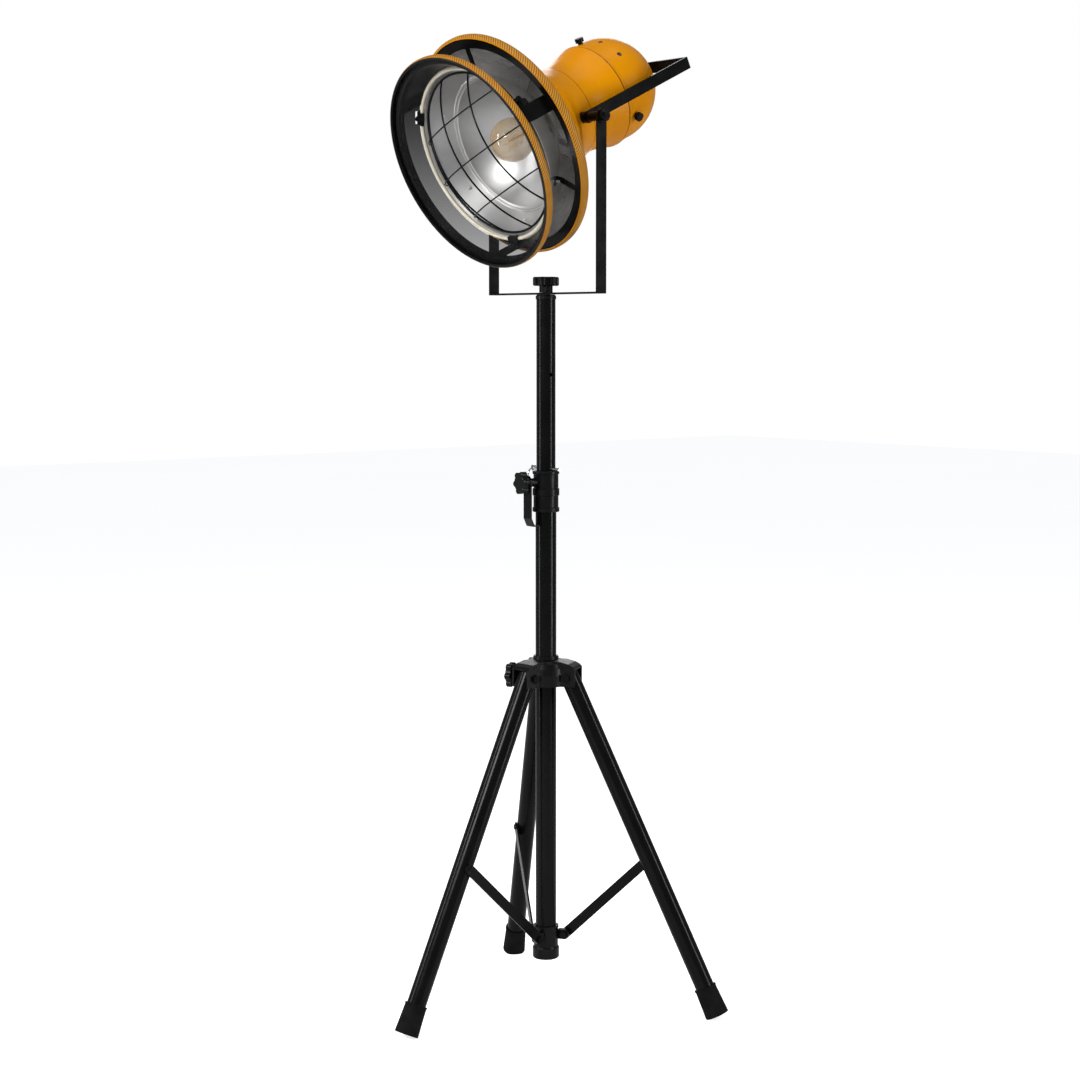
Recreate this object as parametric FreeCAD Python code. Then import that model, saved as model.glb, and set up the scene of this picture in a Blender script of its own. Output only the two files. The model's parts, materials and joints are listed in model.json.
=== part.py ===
import FreeCAD, Part
import math
import os

# Work light: a spun spot lamp head in a yoke, on a telescopic mast with a folding tripod.
# Millimetres.  +Z is up, the origin is on the floor under the mast, and the lamp faces -Y.
# An azimuth of 0 points to -Y and grows towards +X.

V = FreeCAD.Vector
AXIS_X = V(1, 0, 0)
AXIS_Y = V(0, 1, 0)
AXIS_Z = V(0, 0, 1)
GAP = 0.3                # between bodies that move on each other
FIT = 0.02               # between pieces that are pushed together
RUNNING = 0.08           # radial clearance of a pin or shaft in its bore

# Mast
MAST_R = 17.5
MAST_WALL = 1.2
MAST_FOOT_Z = 79.0
MAST_TOP_Z = 898.0
UPPER_R = 16.0
UPPER_WALL = 1.5
UPPER_FOOT_Z = 470.0
UPPER_TOP_Z = 1196.0

# Tripod
LEG_COUNT = 3
LEG_TURN = 2.0           # azimuth of the first leg
LEG_R = 16.0
LEG_WALL = 1.5
LEG_ANGLE = 25.0         # from the vertical, tripod open
LEG_PIVOT_R = 42.2
LEG_PIVOT_Z = 562.0
LEG_END_PAST_PIVOT = 6.0
LEG_BOLT_R = 4.0
BOOT_LENGTH = 50.0
BOOT_TOP_R = 18.0
BOOT_END_R = 20.0
BOOT_FLAT_CUT = 2.0      # how much of the boot's lower edge is worn to a flat
HUB_FOOT_Z = 547.0
HUB_TOP_Z = 595.0
HUB_KNOB_AZIMUTH = 302.0
HUB_KNOB_Z = 560.0
HUB_KNOB_SEAT = 57.0     # where the star starts, out from the mast's axis
KNOB_STUD_R = 4.0

# Braces: one flat bar beside each leg
BAR_THICK = 3.0
BRACE_WIDTH = 17.0
BRACE_OUTER_R = 182.2    # pivot on the leg
BRACE_OUTER_Z = 261.3
BRACE_INNER_R = 30.0     # pivot on the bottom collar
BRACE_INNER_Z = 116.4
BRACE_BOLT_R = 3.0
BRACE_SIDE = LEG_R + GAP # where the bar starts, measured across the leg

# Height clamp and locking pin
CLAMP_FOOT_Z = 840.0
CLAMP_TOP_Z = 909.0
CLAMP_R = 21.0
CLAMP_RING_R = 22.6
CLAMP_KNOB_AZIMUTH = 351.0
CLAMP_KNOB_Z = 890.0
CLAMP_BOSS_END = 34.0    # out from the mast's axis
HOOK_THICK = 2.5
HOOK_FOOT_Z = 817.5
CLAMP_KNOB_SEAT = CLAMP_BOSS_END + HOOK_THICK + 4.0 + 2 * GAP
PIN_AZIMUTH = 84.0
PIN_R = 3.0
PIN_Z = CLAMP_TOP_Z + PIN_R + GAP
PIN_HOLE_PITCH = 158.0
PIN_HOLES_ABOVE = 1
PIN_HOLES_BELOW = 2

# Yoke
YOKE_BAR_WIDTH = 20.0
YOKE_INNER_HALF = 139.5
YOKE_BASE_Z = 1204.0     # underside of the yoke's base bar
STUD_R = 5.0
KNOB_Z = YOKE_BASE_Z + BAR_THICK + GAP
STUD_TOP_Z = YOKE_BASE_Z + 28.0

# Head, measured along its own axis: s is 0 at the bell's rim and grows to the rear
TILT_Z = 1490.0
TILT_S = 101.0           # the tilt axis crosses the head's axis here
HEAD_TILT = 25.3         # nose down, degrees
TILT_BOLT_R = 4.0
SHEET = 1.5
BELL_OUTLINE = [(6.0, 178.5), (20.0, 163.0), (40.0, 142.5), (60.0, 123.5),
                (80.0, 107.5), (100.0, 94.5), (120.0, 85.0), (136.0, 80.0)]
NECK_OUTLINE = [(136.6, 79.6), (152.0, 78.4), (168.0, 79.6), (184.0, 82.8), (198.0, 86.8), (209.0, 90.0)]
CAP_R = 90.0
CAP_FRONT_S = 210.2
CAP_DOME_S = 240.0
RIM_R = 189.0
RIM_HALF_WIDTH = 8.0
FRONT_RING_R = 183.0
FRONT_RING_S = -76.0
COLLAR_R = FRONT_RING_R - 6.6            # the smoked collar's front edge
COLLAR_LIP_S = FRONT_RING_S + 2.9
COLLAR_REAR_R = 152.3
COLLAR_REAR_S = -43.5
REFLECTOR_RIM_S = -42.0
REFLECTOR_RIM_R = 148.2
REFLECTOR_BEAD_R = 3.2
REFLECTOR_STEP_S = 5.0
REFLECTOR_STEP_R = 119.0
BOWL_OUTLINE = [(5.0, 114.5), (20.0, 106.0), (40.0, 90.0), (58.0, 69.0), (71.0, 46.0), (78.0, 27.0)]
GUARD_RING_S = -36.0
GUARD_RING_R = 139.0
GUARD_HEIGHT = 57.0
GUARD_PITCH = 71.0
GUARD_TURN = 20.0        # the cross wires' angle about the head's axis
SCREW_S = -11.0          # the reflector's small screws
BULB_R = 37.0
BULB_S = 22.0
STRAP_ANGLES = (68.0, 188.0, 308.0)      # about the head's axis, from the top towards +X
STANDOFF_ANGLES = (0.0, 120.0, 240.0)
CLIP_ANGLES = (60.0, 180.0, 300.0)
THUMB_ANGLES = (0.0, 120.0, 240.0)
THUMB_S = 226.0
VENT_ANGLES = (-49.0, -20.0, 20.0, 49.0)
VENT_S = 243.0
HANDLE_HALF = 107.0      # inner half width
HANDLE_LENGTH = 243.0    # tilt axis to the crossbar's middle


# ---------------------------------------------------------------- helpers

def direction(azimuth):
    """Unit vector outwards from the mast at an azimuth."""
    angle = math.radians(azimuth)
    return V(math.sin(angle), -math.cos(angle), 0)


def across(azimuth):
    """Unit vector across a leg, towards growing azimuth."""
    return direction(azimuth + 90.0)


def polar(azimuth, radius, z, side=0.0):
    """Point at a radius and height, moved sideways across that azimuth."""
    return direction(azimuth) * radius + across(azimuth) * side + AXIS_Z * z


def cylinder(start, axis, radius, length):
    return Part.makeCylinder(radius, length, start, axis)


def cylinder_between(start, end, radius):
    run = end - start
    return Part.makeCylinder(radius, run.Length, start, run)


def ring(start, axis, inner, outer, length):
    return cylinder(start, axis, outer, length).cut(cylinder(start - axis, axis, inner, length + 2))


def fuse_all(shapes):
    """One solid out of touching solids."""
    return shapes[0].fuse(shapes[1:]).removeSplitter()


def cut_all(shape, tools):
    for tool in tools:
        shape = shape.cut(tool)
    return shape


def turned(points, origin, axial, radial):
    """Solid of revolution from (along, out) corner points about an axis."""
    corners = [origin + axial * s + radial * r for s, r in points]
    face = Part.Face(Part.makePolygon(corners + corners[:1]))
    return face.revolve(origin, axial, 360)


def turned_z(points):
    """Solid of revolution about the mast from (z, r) corner points."""
    return turned(points, V(0, 0, 0), AXIS_Z, AXIS_X)


def spun_face(outer, wall):
    """Face of a spun wall: a smooth outer line, and the same line set inwards by its thickness."""
    inner = []
    last = len(outer) - 1
    for index, (s, r) in enumerate(outer):
        s0, r0 = outer[max(index - 1, 0)]
        s1, r1 = outer[min(index + 1, last)]
        length = math.hypot(s1 - s0, r1 - r0)
        inner.append((s + wall * (r1 - r0) / length, r - wall * (s1 - s0) / length))
    outer_points = [V(0, s, r) for s, r in outer]
    inner_points = [V(0, s, r) for s, r in inner]
    outer_curve = Part.BSplineCurve()
    outer_curve.interpolate(outer_points)
    inner_curve = Part.BSplineCurve()
    inner_curve.interpolate(inner_points)
    edges = [outer_curve.toShape(), Part.makeLine(outer_points[-1], inner_points[-1]),
             inner_curve.toShape(), Part.makeLine(inner_points[0], outer_points[0])]
    return Part.Face(Part.Wire(Part.__sortEdges__(edges)))


def spun_shell(outer, wall):
    return spun_face(outer, wall).revolve(V(0, 0, 0), AXIS_Y, 360)


def head_turned(points):
    """Solid of revolution about the head's own axis from (s, r) corner points."""
    return turned(points, V(0, 0, 0), AXIS_Y, AXIS_Z)


def head_bead(s, radius, section):
    """Round bead about the head's axis."""
    return Part.makeTorus(radius, section, V(0, s, 0), AXIS_Y)


def about_head(angle):
    """Unit vector outwards from the head's axis, from the top towards +X."""
    turn = math.radians(angle)
    return V(math.sin(turn), 0, math.cos(turn))


def head_point(s, r, angle):
    return AXIS_Y * s + about_head(angle) * r


def spin(shape, angle):
    """Turn a piece made at the top of the head to another angle about its axis."""
    return shape.copy().rotate(V(0, 0, 0), AXIS_Y, angle)


def place_head(shape):
    """From the head's own frame to its place in the yoke."""
    placed = shape.copy()
    placed.translate(V(0, -TILT_S, 0))
    placed.rotate(V(0, 0, 0), AXIS_X, HEAD_TILT)
    placed.translate(V(0, 0, TILT_Z))
    return placed


def bent_strip(points, thick, width):
    """Flat bar of even thickness bent along a line in the YZ plane, centred on X."""
    left = []
    right = []
    last = len(points) - 1
    for index, (y, z) in enumerate(points):
        normals = []
        for first, second in ((index - 1, index), (index, index + 1)):
            if first < 0 or second > last:
                continue
            dy = points[second][0] - points[first][0]
            dz = points[second][1] - points[first][1]
            length = math.hypot(dy, dz)
            normals.append((-dz / length, dy / length))
        ny = sum(n[0] for n in normals) / len(normals)
        nz = sum(n[1] for n in normals) / len(normals)
        scale = thick / 2.0 / (ny * ny + nz * nz)
        left.append(V(0, y + ny * scale, z + nz * scale))
        right.append(V(0, y - ny * scale, z - nz * scale))
    outline = left + right[::-1]
    face = Part.Face(Part.makePolygon(outline + outline[:1]))
    strip = face.extrude(AXIS_X * width)
    strip.translate(AXIS_X * (-width / 2.0))
    return strip


def lobed_knob(radius, lobes, thick, chamfer):
    """Star knob standing on Z = 0."""
    lobe_r = radius * 0.27
    core = Part.makeCylinder(radius * 0.78, thick)
    rounds = []
    for index in range(lobes):
        angle = 2 * math.pi * index / lobes
        reach = radius - lobe_r
        rounds.append(Part.makeCylinder(lobe_r, thick, V(reach * math.cos(angle), reach * math.sin(angle), 0)))
    star = fuse_all([core] + rounds)
    rims = [e for e in star.Edges if abs(e.BoundBox.ZMax - e.BoundBox.ZMin) < 1e-6]
    return star.makeChamfer(chamfer, rims)


def aim(shape, start, axis):
    """Move a piece made along +Z so that it starts at a point and runs along an axis."""
    placed = shape.copy()
    placed.Placement = FreeCAD.Placement(start, FreeCAD.Rotation(AXIS_Z, axis))
    return placed


def hex_prism(start, axis, across_flats, length):
    radius = across_flats / math.sqrt(3.0)
    corners = [V(radius * math.cos(math.radians(60 * k)), radius * math.sin(math.radians(60 * k)), 0)
               for k in range(6)]
    prism = Part.Face(Part.makePolygon(corners + corners[:1])).extrude(AXIS_Z * length)
    return aim(prism, start, axis)


def group(shapes):
    return shapes[0] if len(shapes) == 1 else Part.makeCompound(shapes)


# ---------------------------------------------------------------- mast and clamp

def lower_tube():
    start = AXIS_Z * MAST_FOOT_Z
    return ring(start, AXIS_Z, MAST_R - MAST_WALL, MAST_R, MAST_TOP_Z - MAST_FOOT_Z)


def tube_bottom_plug():
    inner = MAST_R - MAST_WALL - FIT
    return turned_z([(76.0, 0), (76.0, MAST_R), (79.0 - FIT, MAST_R), (79.0 - FIT, inner),
                     (100.0, inner), (100.0, inner - 3), (81.0, inner - 3), (81.0, 0)])


def bottom_collar():
    bore = MAST_R + FIT
    body = turned_z([(77.0, bore), (77.0, 21.0), (79.0, 22.5), (95.0, 22.5), (98.0, 20.6),
                     (128.0, 20.6), (129.5, 21.6), (133.0, 21.6), (133.0, bore)])
    shapes = [body]
    for index in range(LEG_COUNT):
        azimuth = LEG_TURN + index * 360.0 / LEG_COUNT
        pivot = polar(azimuth, BRACE_INNER_R, BRACE_INNER_Z, 7.0)
        web_low = polar(azimuth, 19.0, BRACE_INNER_Z - 8.5, 7.0)
        corners = [web_low, web_low + AXIS_Z * 17.0,
                   pivot + AXIS_Z * 8.5, pivot - AXIS_Z * 8.5]
        web = Part.Face(Part.makePolygon(corners + corners[:1])).extrude(across(azimuth) * 9.0)
        eye = cylinder(pivot, across(azimuth), 8.5, 9.0)
        shapes += [web, eye]
    collar = fuse_all(shapes).cut(cylinder(AXIS_Z * 70, AXIS_Z, bore, 80))
    for index in range(LEG_COUNT):
        azimuth = LEG_TURN + index * 360.0 / LEG_COUNT
        start = polar(azimuth, BRACE_INNER_R, BRACE_INNER_Z, 0.0)
        collar = collar.cut(cylinder(start, across(azimuth), BRACE_BOLT_R + FIT, 20.0))
        clear = polar(azimuth, BRACE_INNER_R, BRACE_INNER_Z, 1.0)
        collar = collar.cut(cylinder(clear, across(azimuth), 6.4, 6.0 - FIT))
    return collar


def brace_pivot_bolts():
    bolts = []
    for index in range(LEG_COUNT):
        azimuth = LEG_TURN + index * 360.0 / LEG_COUNT
        axis = across(azimuth)
        start = polar(azimuth, BRACE_INNER_R, BRACE_INNER_Z, 4.0)
        shank = cylinder(start, axis, BRACE_BOLT_R, BRACE_SIDE + BAR_THICK + GAP - 4.0)
        nut = hex_prism(start - axis * 1.0, axis, 10.0, 4.0 - FIT)
        head_start = polar(azimuth, BRACE_INNER_R, BRACE_INNER_Z, BRACE_SIDE + BAR_THICK + GAP)
        head = cylinder(head_start, axis, 6.0, 3.0)
        bolts.append(fuse_all([shank, nut, head]))
    return group(bolts)


def clamp_collar():
    bore = MAST_R + FIT
    low, high = CLAMP_FOOT_Z, CLAMP_TOP_Z
    body = turned_z([(low, bore), (low, CLAMP_RING_R - 1), (low + 1, CLAMP_RING_R), (low + 7, CLAMP_RING_R),
                     (low + 8, CLAMP_R), (low + 27, CLAMP_R), (low + 28, CLAMP_RING_R),
                     (low + 39, CLAMP_RING_R), (low + 40, CLAMP_R), (high - 6, CLAMP_R),
                     (high - 5, CLAMP_RING_R), (high - 1, CLAMP_RING_R), (high, CLAMP_RING_R - 1),
                     (high, UPPER_R + GAP), (high - 3, UPPER_R + GAP), (high - 3, bore)])
    axis = direction(CLAMP_KNOB_AZIMUTH)
    boss = cylinder(axis * 19.0 + AXIS_Z * CLAMP_KNOB_Z, axis, 7.2, CLAMP_BOSS_END - 19.0)
    collar = fuse_all([body, boss]).cut(cylinder(AXIS_Z * (low - 5), AXIS_Z, bore, high - low + 2))
    return collar.cut(cylinder(axis * 10.0 + AXIS_Z * CLAMP_KNOB_Z, axis, KNOB_STUD_R + RUNNING, 40.0))


def clamp_liner():
    """Nylon guide ring on top of the lower tube, inside the clamp collar."""
    start = AXIS_Z * (MAST_TOP_Z + FIT)
    return ring(start, AXIS_Z, UPPER_R + RUNNING, MAST_R, CLAMP_TOP_Z - 3 - FIT - MAST_TOP_Z - FIT)


def cable_hook():
    """Flat J hook hung on the end of the clamp's boss, with its tail turned back to the tube."""
    out = CLAMP_BOSS_END + FIT + HOOK_THICK / 2.0
    strip = bent_strip([(-out, CLAMP_KNOB_Z + 2), (-out, HOOK_FOOT_Z + 12.5), (-out + 5.5, HOOK_FOOT_Z),
                        (-MAST_R - 2.0, HOOK_FOOT_Z)], HOOK_THICK, 24.0)
    start = V(0, -out - HOOK_THICK / 2.0, CLAMP_KNOB_Z)
    eye = cylinder(start, AXIS_Y, 12.0, HOOK_THICK)
    hook = fuse_all([strip, eye]).cut(cylinder(start - AXIS_Y * 5, AXIS_Y, KNOB_STUD_R + 0.6, 15.0))
    return hook.rotate(V(0, 0, 0), AXIS_Z, CLAMP_KNOB_AZIMUTH)


def knob_on_stud(radius, thick, neck_r, neck_length, stud_length):
    """Star knob with a moulded-in stud, standing on Z = 0 with the stud below."""
    knob = lobed_knob(radius, 6, thick, 1.6)
    neck = Part.makeCone(neck_r, neck_r + 1.5, neck_length + 0.2, V(0, 0, -neck_length))
    stud = Part.makeCylinder(KNOB_STUD_R, stud_length + 5.0, V(0, 0, -stud_length))
    return fuse_all([knob, neck, stud])


def clamp_knob():
    axis = direction(CLAMP_KNOB_AZIMUTH)
    knob = knob_on_stud(20.0, 12.0, 7.5, 4.0, CLAMP_KNOB_SEAT - MAST_R - GAP)
    return aim(knob, axis * CLAMP_KNOB_SEAT + AXIS_Z * CLAMP_KNOB_Z, axis)


# ---------------------------------------------------------------- tripod

def leg_slot(azimuth):
    """Room for one leg's top end inside the hub, open below and outwards."""
    half = LEG_R + 0.4
    corners = [(22.4, 540.0), (22.4, 572.0), (30.0, 580.0), (50.0, 580.0), (60.0, 574.5), (80.0, 572.0),
               (80.0, 540.0)]
    points = [polar(azimuth, r, z, -half) for r, z in corners]
    return Part.Face(Part.makePolygon(points + points[:1])).extrude(across(azimuth) * (2 * half))


def hub_lobe(azimuth):
    """Housing around one leg's top end."""
    half = LEG_R + 4.4
    corners = [(10.0, HUB_FOOT_Z), (10.0, 589.0), (31.0, 589.0), (46.0, 585.5), (54.0, 581.5), (57.5, 577.5),
               (57.5, HUB_FOOT_Z)]
    points = [polar(azimuth, r, z, -half) for r, z in corners]
    return Part.Face(Part.makePolygon(points + points[:1])).extrude(across(azimuth) * (2 * half))


def tripod_hub():
    bore = MAST_R + 1.5
    dome = turned_z([(HUB_FOOT_Z, bore), (HUB_FOOT_Z, 38.5), (566.0, 39.5), (577.0, 37.5), (585.0, 33.5),
                     (589.0, 29.0), (590.5, 23.0), (591.0, 21.6), (HUB_TOP_Z, 21.6), (HUB_TOP_Z, bore)])
    azimuths = [LEG_TURN + index * 360.0 / LEG_COUNT for index in range(LEG_COUNT)]
    axis = direction(HUB_KNOB_AZIMUTH)
    boss = cylinder(axis * 30.0 + AXIS_Z * HUB_KNOB_Z, axis, 9.0, 17.0)
    hub = fuse_all([dome, boss] + [hub_lobe(a) for a in azimuths])
    hub = hub.cut(cylinder(AXIS_Z * (HUB_FOOT_Z - 5), AXIS_Z, bore, 60.0))
    for azimuth in azimuths:
        hub = hub.cut(leg_slot(azimuth))
        start = polar(azimuth, LEG_PIVOT_R, LEG_PIVOT_Z, -30.0)
        hub = hub.cut(cylinder(start, across(azimuth), LEG_BOLT_R + FIT, 60.0))
    return hub.cut(cylinder(axis * 10.0 + AXIS_Z * HUB_KNOB_Z, axis, KNOB_STUD_R + RUNNING, 40.0))


def hub_bush():
    """Nylon lining that slides on the mast, with a hole for the knob's stud."""
    bush = turned_z([(HUB_FOOT_Z, MAST_R + GAP), (HUB_FOOT_Z, MAST_R + 1.5 - FIT),
                     (HUB_TOP_Z + FIT, MAST_R + 1.5 - FIT), (HUB_TOP_Z + FIT, MAST_R + 3.0),
                     (HUB_TOP_Z + 1.5, MAST_R + 3.0), (HUB_TOP_Z + 1.5, MAST_R + GAP)])
    axis = direction(HUB_KNOB_AZIMUTH)
    return bush.cut(cylinder(axis * 10.0 + AXIS_Z * HUB_KNOB_Z, axis, KNOB_STUD_R + RUNNING, 20.0))


def leg_pivot_bolts():
    bolts = []
    for index in range(LEG_COUNT):
        azimuth = LEG_TURN + index * 360.0 / LEG_COUNT
        axis = across(azimuth)
        side = LEG_R + 4.4 + FIT
        start = polar(azimuth, LEG_PIVOT_R, LEG_PIVOT_Z, -side)
        shank = cylinder(start, axis, LEG_BOLT_R, 2 * side)
        head = hex_prism(start - axis * 4.0, axis, 13.0, 4.0)
        nut = hex_prism(start + axis * (2 * side), axis, 13.0, 5.0)
        bolts.append(fuse_all([shank, head, nut]))
    return group(bolts)


def hub_knob():
    axis = direction(HUB_KNOB_AZIMUTH)
    knob = knob_on_stud(22.0, 11.0, 8.5, 3.0, HUB_KNOB_SEAT - MAST_R - GAP)
    return aim(knob, axis * HUB_KNOB_SEAT + AXIS_Z * HUB_KNOB_Z, axis)


def leg_line(azimuth):
    """Pivot point and downward direction of a leg."""
    angle = math.radians(LEG_ANGLE)
    down = direction(azimuth) * math.sin(angle) - AXIS_Z * math.cos(angle)
    return polar(azimuth, LEG_PIVOT_R, LEG_PIVOT_Z), down


def leg_length():
    """Pivot to the middle of the boot's end, which leaves the end's lower edge below the floor."""
    angle = math.radians(LEG_ANGLE)
    end_z = BOOT_END_R * math.sin(angle) - BOOT_FLAT_CUT
    return (LEG_PIVOT_Z - end_z) / math.cos(angle)


def leg_tube(azimuth):
    pivot, down = leg_line(azimuth)
    start = pivot - down * LEG_END_PAST_PIVOT
    length = LEG_END_PAST_PIVOT + leg_length() - 5.0
    tube = cylinder(start, down, LEG_R, length).cut(cylinder(start - down, down, LEG_R - LEG_WALL, length + 2))
    start = polar(azimuth, LEG_PIVOT_R, LEG_PIVOT_Z, -25.0)
    bolt = cylinder(start, across(azimuth), LEG_BOLT_R + RUNNING, 50.0)
    return tube.cut(bolt)


def rubber_boot(azimuth):
    pivot, down = leg_line(azimuth)
    length = leg_length()
    start = pivot + down * (length - BOOT_LENGTH)
    skirt = Part.makeCone(BOOT_TOP_R, BOOT_END_R, BOOT_LENGTH, start, down)
    lip = cylinder(start, down, BOOT_TOP_R + 0.8, 3.0)
    hollow = cylinder(start - down, down, LEG_R + FIT, BOOT_LENGTH - 5.0 + 1.0 + FIT)
    boot = fuse_all([skirt, lip]).cut(hollow)
    below = Part.makeBox(1200, 1200, 50, V(-600, -600, -50))
    return boot.cut(below)


def brace_frame(azimuth):
    inner = polar(azimuth, BRACE_INNER_R, BRACE_INNER_Z, BRACE_SIDE)
    outer = polar(azimuth, BRACE_OUTER_R, BRACE_OUTER_Z, BRACE_SIDE)
    return inner, outer


def brace_bar(azimuth):
    inner, outer = brace_frame(azimuth)
    axis = across(azimuth)
    along = (outer - inner).normalize()
    side = along.cross(axis).normalize() * (BRACE_WIDTH / 2.0)
    corners = [inner + side, outer + side, outer - side, inner - side]
    bar = Part.Face(Part.makePolygon(corners + corners[:1])).extrude(axis * BAR_THICK)
    ends = [cylinder(point, axis, BRACE_WIDTH / 2.0, BAR_THICK) for point in (inner, outer)]
    bar = fuse_all([bar] + ends)
    bar = bar.cut(cylinder(inner - axis * 5, axis, BRACE_BOLT_R + RUNNING, 15.0))
    return bar.cut(cylinder(outer - axis * 5, axis, BRACE_BOLT_R + FIT, 15.0))


def brace_rivet(azimuth):
    """Rivet at the leg end of a brace: its shank stops short of the leg, where the linkage is open."""
    outer = brace_frame(azimuth)[1]
    axis = across(azimuth)
    shank = cylinder(outer, axis, BRACE_BOLT_R, BAR_THICK + FIT)
    head = Part.makeCone(6.0, 3.5, 2.6, outer + axis * (BAR_THICK + FIT), axis)
    return fuse_all([shank, head])


# ---------------------------------------------------------------- upper mast and pin

def pin_hole_heights():
    return [PIN_Z + k * PIN_HOLE_PITCH for k in range(-PIN_HOLES_BELOW, PIN_HOLES_ABOVE + 1)]


def upper_tube():
    tube = ring(AXIS_Z * UPPER_FOOT_Z, AXIS_Z, UPPER_R - UPPER_WALL, UPPER_R, UPPER_TOP_Z - UPPER_FOOT_Z)
    axis = direction(PIN_AZIMUTH)
    holes = [cylinder(AXIS_Z * z - axis * 20, axis, PIN_R + RUNNING, 40.0) for z in pin_hole_heights()]
    return cut_all(tube, holes)


def tube_cap():
    inner = UPPER_R - UPPER_WALL - FIT
    top = YOKE_BASE_Z - 1.6
    cap = turned_z([(UPPER_TOP_Z - 30, STUD_R + FIT), (UPPER_TOP_Z - 30, inner), (UPPER_TOP_Z + FIT, inner),
                    (UPPER_TOP_Z + FIT, 17.2), (top - 1, 17.2), (top, 16.2), (top, STUD_R + FIT)])
    return cap


def top_stud():
    """Threaded stud in the tube cap that carries the yoke."""
    stud = cylinder(AXIS_Z * (UPPER_TOP_Z - 32), AXIS_Z, STUD_R, STUD_TOP_Z - UPPER_TOP_Z + 32)
    foot = hex_prism(AXIS_Z * (UPPER_TOP_Z - 38), AXIS_Z, 17.0, 8.0 - FIT)
    return fuse_all([stud, foot])


def lock_pin():
    axis = direction(PIN_AZIMUTH)
    middle = AXIS_Z * PIN_Z
    rod = cylinder(middle - axis * 36.0, axis, PIN_R, 75.0)
    tip = Part.makeCone(PIN_R, 1.4, 3.0, middle + axis * 39.0, axis)
    eye = cylinder(pin_eye() - across(PIN_AZIMUTH) * 2.5, across(PIN_AZIMUTH), 5.0, 5.0)
    pin = fuse_all([rod, tip, eye])
    return pin.cut(cylinder(pin_eye() - across(PIN_AZIMUTH) * 10, across(PIN_AZIMUTH), 1.9, 20.0))


def pin_eye():
    return AXIS_Z * PIN_Z - direction(PIN_AZIMUTH) * 37.5


def pin_ring():
    """Split ring hanging through the pin's eye."""
    radius = 11.5
    centre = pin_eye() - AXIS_Z * radius
    return Part.makeTorus(radius, 1.3, centre, direction(PIN_AZIMUTH))


# ---------------------------------------------------------------- yoke

def yoke():
    middle = YOKE_INNER_HALF + BAR_THICK / 2.0
    base = YOKE_BASE_Z + BAR_THICK / 2.0
    strip = bent_strip([(-middle, TILT_Z), (-middle, base), (middle, base), (middle, TILT_Z)],
                       BAR_THICK, YOKE_BAR_WIDTH)
    strip.rotate(V(0, 0, 0), AXIS_Z, -90)
    ends = []
    for side in (-1, 1):
        start = V(side * YOKE_INNER_HALF, 0, TILT_Z)
        ends.append(cylinder(start, AXIS_X * side, YOKE_BAR_WIDTH / 2.0, BAR_THICK))
    frame = fuse_all([strip] + ends)
    frame = frame.cut(cylinder(V(-200, 0, TILT_Z), AXIS_X, TILT_BOLT_R + RUNNING, 400))
    return frame.cut(cylinder(AXIS_Z * (YOKE_BASE_Z - 5), AXIS_Z, STUD_R + RUNNING, 20))


def yoke_washer():
    start = AXIS_Z * (YOKE_BASE_Z - 1.6 + FIT)
    return ring(start, AXIS_Z, STUD_R + FIT, 15.5, 1.6 - FIT - GAP)


def yoke_knob():
    star = lobed_knob(22.0, 6, 15.0, 1.8)
    star.translate(AXIS_Z * (KNOB_Z + 11.0))
    neck = Part.makeCylinder(10.2, 11.0, AXIS_Z * KNOB_Z)
    ribs = []
    for index in range(10):
        turn = 2 * math.pi * index / 10
        ribs.append(Part.makeCylinder(1.6, 11.0, V(10.0 * math.cos(turn), 10.0 * math.sin(turn), KNOB_Z)))
    knob = fuse_all([star, neck] + ribs)
    return knob.cut(cylinder(AXIS_Z * (KNOB_Z - 1), AXIS_Z, STUD_R + RUNNING, STUD_TOP_Z + 3.0 - KNOB_Z))


# ---------------------------------------------------------------- lamp housing

def rim_band(s, outer):
    """Rolled rim with a rounded section."""
    half = RIM_HALF_WIDTH
    return head_turned([(s - half, outer - 4.5), (s - half, outer - 2.6), (s - half + 2.4, outer - 0.7),
                        (s - 2.5, outer), (s + 2.5, outer), (s + half - 2.4, outer - 0.7),
                        (s + half, outer - 2.6), (s + half, outer - 4.5)])


def bell_solid():
    shell = spun_shell(BELL_OUTLINE, SHEET)
    step = head_turned([(5.0, 174.0), (5.0, RIM_R - 3.0), (7.5, RIM_R - 3.0), (7.5, 176.0)])
    return fuse_all([shell, step, rim_band(0.0, RIM_R)])


def tilt_holes():
    return [cylinder(V(-120, TILT_S, 0), AXIS_X, TILT_BOLT_R + FIT, 240.0)]


def bell_housing():
    return place_head(cut_all(bell_solid(), tilt_holes()))


def neck_housing():
    shell = spun_shell(NECK_OUTLINE, SHEET)
    spigot = head_turned([(202.0, 85.4), (202.0, 86.9), (232.0, 86.9), (232.0, 85.4)])
    neck = fuse_all([shell, spigot])
    drills = [cylinder(head_point(THUMB_S, 80.0, a), about_head(a), 2.5 + FIT, 15.0) for a in THUMB_ANGLES]
    return place_head(cut_all(neck, drills))


def dome_face(outer_r, front):
    """Half section of a round-ended cap, filled to the axis."""
    end = CAP_DOME_S + outer_r
    half = math.sqrt(0.5)
    arc = Part.Arc(V(0, CAP_DOME_S, outer_r), V(0, CAP_DOME_S + outer_r * half, outer_r * half), V(0, end, 0))
    edges = [Part.makeLine(V(0, front, 0), V(0, front, outer_r)),
             Part.makeLine(V(0, front, outer_r), V(0, CAP_DOME_S, outer_r)),
             arc.toShape(), Part.makeLine(V(0, end, 0), V(0, front, 0))]
    return Part.Face(Part.Wire(edges))


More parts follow.
